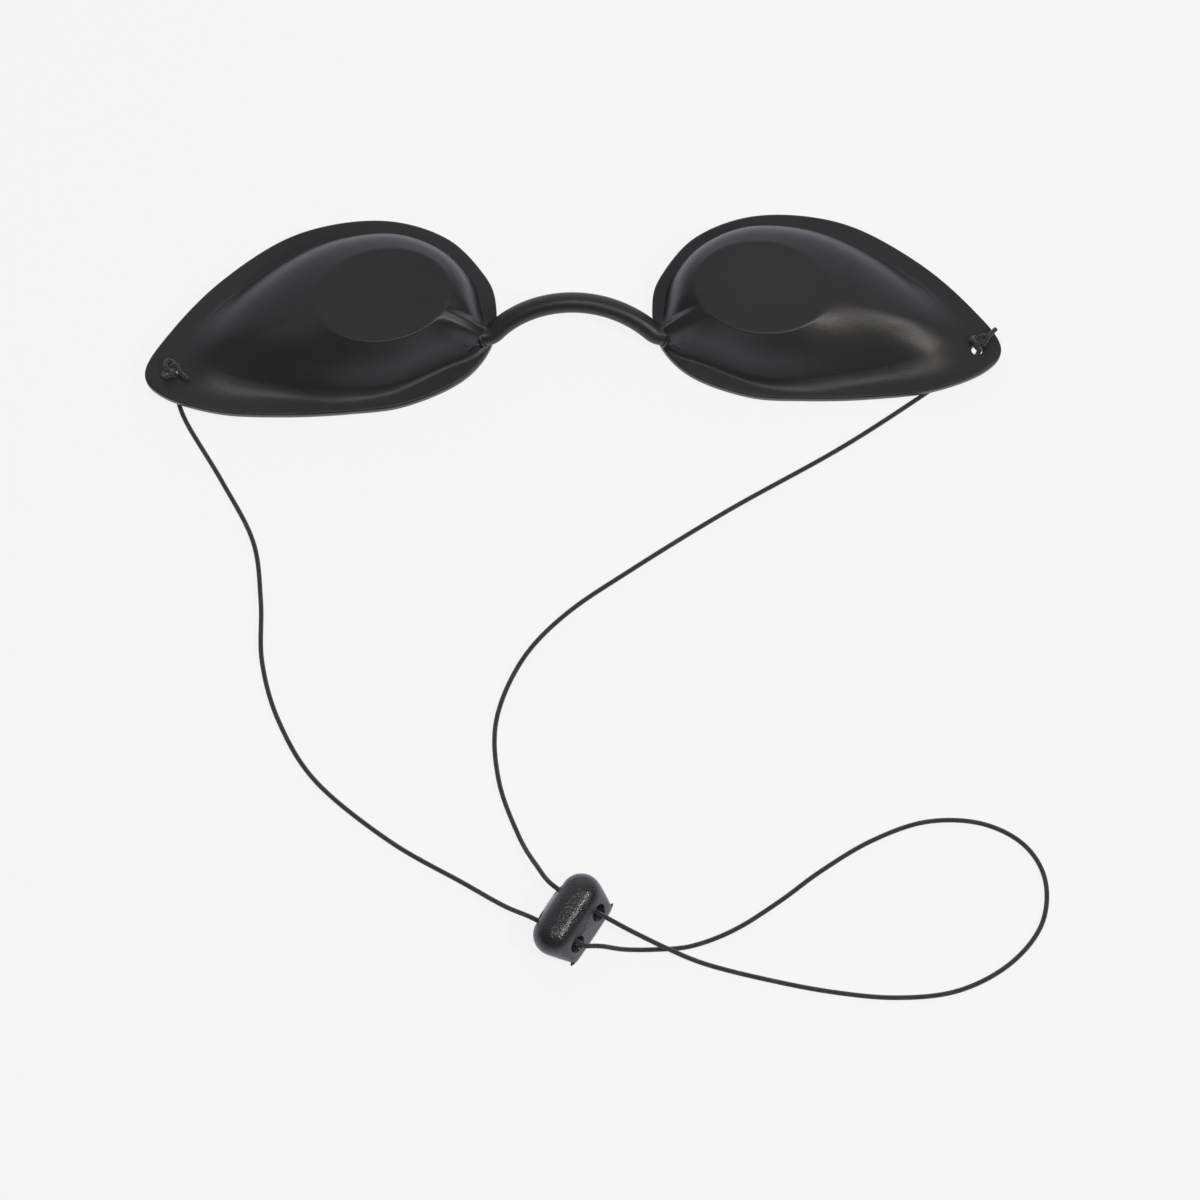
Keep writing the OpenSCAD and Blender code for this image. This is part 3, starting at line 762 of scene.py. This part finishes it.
# The nodes of a material or of the world
class Finish:
    def __init__(self, owner):
        owner.use_nodes = True
        self.owner, self.tree = owner, owner.node_tree
        self.tree.nodes.clear()

    # A node of any type: its settings first, then the values or wires of its sockets
    def node(self, kind, settings, sockets, out=0):
        made = self.tree.nodes.new(kind)
        for name, value in settings.items():
            setattr(made, name, value)
        for key, value in sockets.items():
            if isinstance(value, Wire):
                self.tree.links.new(value.output, made.inputs[key])
            else:
                made.inputs[key].default_value = value
        return Wire(self, made.outputs[out]) if len(made.outputs) else None

    def objectPlace(self):
        return self.node("ShaderNodeTexCoord", {}, {}, "Object")

    def noise(self, place, scale, detail=2, roughness=0.5):
        return self.node("ShaderNodeTexNoise", {}, {"Vector": place, "Scale": scale, "Detail": detail,
                                                    "Roughness": roughness})

    # Round specks of differing size, each in its own cell: the cell's own red sets its radius, and
    # only the given share of the cells has one
    def specks(self, place, scale, radius, share):
        cells = {"Vector": place, "Scale": scale}
        distance = self.node("ShaderNodeTexVoronoi", {"feature": "F1"}, cells, "Distance")
        tint = self.node("ShaderNodeTexVoronoi", {"feature": "F1"}, cells, "Color")
        red = self.node("ShaderNodeSeparateColor", {}, {"Color": tint}, "Red")
        size = (red - (1 - share)).atLeast(0) * (radius / share)
        return (size - distance).between(0, radius * 0.35)

    def blend(self, factor, a, b):
        return self.node("ShaderNodeMix", {"data_type": "RGBA"}, {0: factor, 6: a, 7: b}, 2)

    # Bumps in turn, the coarse one first, each a height with its distance and strength
    def bumps(self, *bumps):
        normal = None
        for height, (distance, strength) in bumps:
            sockets = {"Height": height, "Distance": distance, "Strength": strength}
            if normal is not None:
                sockets["Normal"] = normal
            normal = self.node("ShaderNodeBump", {}, sockets)
        return normal

    def surface(self, **sockets):
        shader = self.node("ShaderNodeBsdfPrincipled", {}, sockets)
        self.node("ShaderNodeOutputMaterial", {}, {"Surface": shader})
        return self.owner


def materialFinish(name):
    return Finish(bpy.data.materials.new(name))


# The linear colour of an sRGB hex value
def colour(text):
    parts = np.array([int(text[i:i + 2], 16) for i in (1, 3, 5)]) / 255
    linear = np.where(parts <= 0.04045, parts / 12.92, ((parts + 0.055) / 1.055) ** 2.4)
    return (*linear.tolist(), 1)


# A bump is its distance in metres and its strength. A pattern's Rough value is how much of it is
# added to the roughness.
plasticIndex = 1.5
mouldedLook = {
    "colour": "#1e1e1f", "cloud": "#232324", "cloudScale": 60, "cloudRough": 0.12, "roughness": 0.41,
    "grain": 4200, "grainRough": 0.1, "grainBump": (0.00003, 0.7),
    "ripple": 900, "rippleBump": (0.00004, 0.35),
    "dust": "#8d8b88", "dustCells": 420, "dustRadius": 0.045, "dustShare": 0.35, "dustStrength": 0.75,
}
rodLook = dict(mouldedLook, colour="#202022", cloud="#252527", roughness=0.4, dustCells=330)


# Soft black plastic with a fine moulded grain, faint clouds in its sheen and a few specks of dust
def mouldedPlastic(name, look):
    finish = materialFinish(name)
    place = finish.objectPlace()
    cloud = finish.noise(place, look["cloudScale"], 3)
    grain = finish.noise(place, look["grain"], 2, 0.6)
    ripple = finish.noise(place, look["ripple"])
    dust = finish.specks(place, look["dustCells"], look["dustRadius"], look["dustShare"])
    base = finish.blend(cloud.between(0.3, 0.75), colour(look["colour"]), colour(look["cloud"]))
    base = finish.blend(dust * look["dustStrength"], base, colour(look["dust"]))
    rough = look["roughness"] + (cloud - 0.5) * look["cloudRough"] + (grain - 0.5) * look["grainRough"]
    normal = finish.bumps((ripple, look["rippleBump"]), (grain, look["grainBump"]))
    return finish.surface(**{"Base Color": base, "Roughness": rough, "Normal": normal, "IOR": plasticIndex})


beadLook = {
    "colour": "#222223", "cloud": "#28282a", "cloudScale": 220, "roughness": 0.25,
    "pebble": 2400, "pebbleSoftness": 0.6, "pebbleRough": 0.15, "pebbleBump": (0.00006, 0.6),
    "grain": 4200, "grainRough": 0.3, "grainBump": (0.00005, 0.8),
}


# The bead's leathery skin: small pebbles from cell distances, under a finer grain
def beadPlastic(name, look):
    finish = materialFinish(name)
    place = finish.objectPlace()
    cloud = finish.noise(place, look["cloudScale"], 3)
    pebble = finish.node("ShaderNodeTexVoronoi", {"feature": "SMOOTH_F1"},
                         {"Vector": place, "Scale": look["pebble"], "Smoothness": look["pebbleSoftness"]},
                         "Distance")
    grain = finish.noise(place, look["grain"], 2, 0.6)
    base = finish.blend(cloud.between(0.3, 0.7), colour(look["colour"]), colour(look["cloud"]))
    rough = look["roughness"] + (grain - 0.5) * look["grainRough"] + (pebble - 0.4) * look["pebbleRough"]
    normal = finish.bumps((1 - pebble, look["pebbleBump"]), (grain, look["grainBump"]))
    return finish.surface(**{"Base Color": base, "Roughness": rough, "Normal": normal, "IOR": plasticIndex})


# The shine colour is a painted highlight on the threads' tops, and the thread colour is partly painted light
# on them
braidLook = {
    "colour": "#1c1c1d", "thread": "#323233", "shine": "#4c4c4e", "shineStrength": 0.6,
    "roughness": 0.62, "wearAndShine": 700, "wornRough": 0.2,
    "threads": 6, "pitch": 0.9, "bump": (0.00012, 0.9), "sheen": 0.25, "sheenRoughness": 0.5,
}


# A braid of two sets of threads that wind opposite ways: with a whole count of threads around,
# sin(around + along) sin(around - along) gives its diamonds
def braidedCord(name, look):
    finish = materialFinish(name)
    uv = finish.node("ShaderNodeUVMap", {"uv_map": "UVMap"}, {})
    around = finish.node("ShaderNodeSeparateXYZ", {}, {"Vector": uv}, "X") * (math.pi * look["threads"])
    along = finish.node("ShaderNodeSeparateXYZ", {}, {"Vector": uv}, "Y") * (2 * math.pi * look["pitch"])
    weave = (around + along).sine() * (around - along).sine()
    # This noise is wear in the roughness and bumps, random tone in the colour, and the mask of the painted
    # shine
    wearAndShine = finish.noise(finish.objectPlace(), look["wearAndShine"], 3)
    # The threads' tops take the lighter thread colour and the grooves between them stay dark: partly the
    # braid's pattern, partly painted shade in the grooves
    top = (abs(weave) * 0.7 + wearAndShine * 0.5).between(0.3, 0.8)
    base = finish.blend(top, colour(look["colour"]), colour(look["thread"]))
    # A painted shine: a lighter colour where a thread's top and the noise are both high
    shine = (top * wearAndShine).between(0.45, 0.7) * look["shineStrength"]
    base = finish.blend(shine, base, colour(look["shine"]))
    rough = look["roughness"] + (wearAndShine - 0.5) * look["wornRough"]
    normal = finish.bumps((abs(weave) + wearAndShine * 0.3, look["bump"]))
    return finish.surface(**{"Base Color": base, "Roughness": rough, "Normal": normal, "IOR": plasticIndex,
                             "Sheen Weight": look["sheen"], "Sheen Roughness": look["sheenRoughness"]})


cupFinish = mouldedPlastic("cupPlastic", mouldedLook)
rodFinish = mouldedPlastic("bridgePlastic", rodLook)
beadFinish = beadPlastic("beadPlastic", beadLook)
cordFinish = braidedCord("elasticCord", braidLook)
for finish, pieces in [(cupFinish, [leftShell, rightShell]), (rodFinish, [bridgeRod]),
                       (beadFinish, [cordBead]),
                       (cordFinish, [leftStrand, rightStrand, cordLoop, leftKnot, rightKnot])]:
    for piece in pieces:
        piece.data.materials.clear()
        piece.data.materials.append(finish)
print("materials made")


# What each piece stands for and rides on, with the slot name of its finish
for piece, node, body, slotName in [
        (leftShell, "left_cup", "left_side", "cup_plastic"),
        (rightShell, "right_cup", "right_side", "cup_plastic"),
        (cordBead, "bead", "bead", "bead_plastic"),
        (leftKnot, "cord_left_knot", "left_side", "elastic_cord"),
        (rightKnot, "cord_right_knot", "right_side", "elastic_cord"),
        (rightStrand, "cord_right_strand", "right_side", "elastic_cord"),
        (cordLoop, "cord_loop", "right_side", "elastic_cord")]:
    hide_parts(node)
    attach(piece, body)
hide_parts("nose_bridge")
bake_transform(bridgeRod)
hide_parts("cord_left_strand")
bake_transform(leftStrand)

for piece, path, farEnd, extras in [(leftStrand, leftPath, "fitting", [leftKnot, cordBead]),
                                    (rightStrand, rightPath, "object", [rightKnot]),
                                    (cordLoop, loopPath, "object", [])]:
    tuple(path[0] * millimetre)
    (path * millimetre).tolist()


# Floor, lamps and world. The floor's own sizes are in metres.
studio = {
    "background": 0.945, "glossTint": (1.06, 1.02, 1.14),
    "floorHalf": 4, "floorDrop": 0.0002, "floorColour": (0.85, 0.85, 0.85, 1), "floorShare": 0.9,
    "room": 0.16, "behindPower": 1.6, "aim": (0, -30, 0),
    "warm": {"place": (490, -260, 640), "size": 110, "watts": 2.3, "colour": (1, 0.95, 0.9), "shine": True},
    "front": {"place": (40, -190, 880), "size": 140, "watts": 1.3, "colour": (1, 0.96, 0.91), "shine": True},
    "fill": {"place": (-200, 250, 1000), "size": 900, "watts": 2.4, "colour": (1, 1, 1), "shine": False},
}
backgroundColour = (studio["background"],) * 3 + (1,)


def softLamp(name, facts):
    lamp = bpy.data.lights.new(name, "AREA")
    lamp.shape, lamp.size = "SQUARE", facts["size"] * millimetre
    lamp.energy, lamp.color = facts["watts"], facts["colour"]
    holder = newObject(name, lamp)
    holder.visible_glossy = facts["shine"]
    holder.location = Vector(facts["place"]) * millimetre
    towards = Vector(studio["aim"]) - Vector(facts["place"])
    holder.rotation_euler = towards.to_track_quat("-Z", "Y").to_euler()


# A pale floor: the camera and the reflections see mostly a constant white, with a share of the
# lit floor and its shadow
def paleFloor():
    finish = materialFinish("paleFloor")
    rays = {name: finish.node("ShaderNodeLightPath", {}, {}, name) for name in
            ("Is Camera Ray", "Is Glossy Ray", "Is Transmission Ray")}
    seen = rays["Is Camera Ray"] + rays["Is Glossy Ray"] + rays["Is Transmission Ray"]
    tint = finish.blend(rays["Is Glossy Ray"], backgroundColour, (*studio["glossTint"], 1))
    glow = finish.node("ShaderNodeEmission", {}, {"Color": tint, "Strength": 1})
    lit = finish.node("ShaderNodeBsdfDiffuse", {}, {"Color": studio["floorColour"]})
    both = finish.node("ShaderNodeMixShader", {}, {0: seen * studio["floorShare"], 1: lit, 2: glow})
    finish.node("ShaderNodeOutputMaterial", {}, {"Surface": both})
    half, down = studio["floorHalf"], -studio["floorDrop"]
    corners = [(x, y, down) for x, y in ((-half, -half), (half, -half), (half, half), (-half, half))]
    mesh = bpy.data.meshes.new("floor")
    mesh.from_pydata(corners, [], [(0, 1, 2, 3)])
    mesh.materials.append(finish.owner)
    newObject("floor", mesh)


# The room's light: dim overhead and in front, and white towards the wall behind, with the way's Y
# to a power. The camera sees the plain background.
def studioWorld():
    world = bpy.data.worlds.new("studioWorld")
    bpy.context.scene.world = world
    finish = Finish(world)
    way = finish.node("ShaderNodeTexCoord", {}, {}, "Generated")
    behind = finish.node("ShaderNodeSeparateXYZ", {}, {"Vector": way}, "Y")
    tint = finish.blend(behind.atLeast(0) ** studio["behindPower"], (studio["room"],) * 3 + (1,),
                        (*studio["glossTint"], 1))
    ray = finish.node("ShaderNodeLightPath", {}, {}, "Is Camera Ray")
    room = finish.node("ShaderNodeBackground", {}, {"Color": finish.blend(ray, tint, backgroundColour)})
    finish.node("ShaderNodeOutputWorld", {}, {"Surface": room})


for lampName in ("warm", "front", "fill"):
    softLamp(lampName + "Lamp", studio[lampName])
paleFloor()
studioWorld()
bpy.context.scene.view_settings.view_transform = "Standard"
print("studio made")
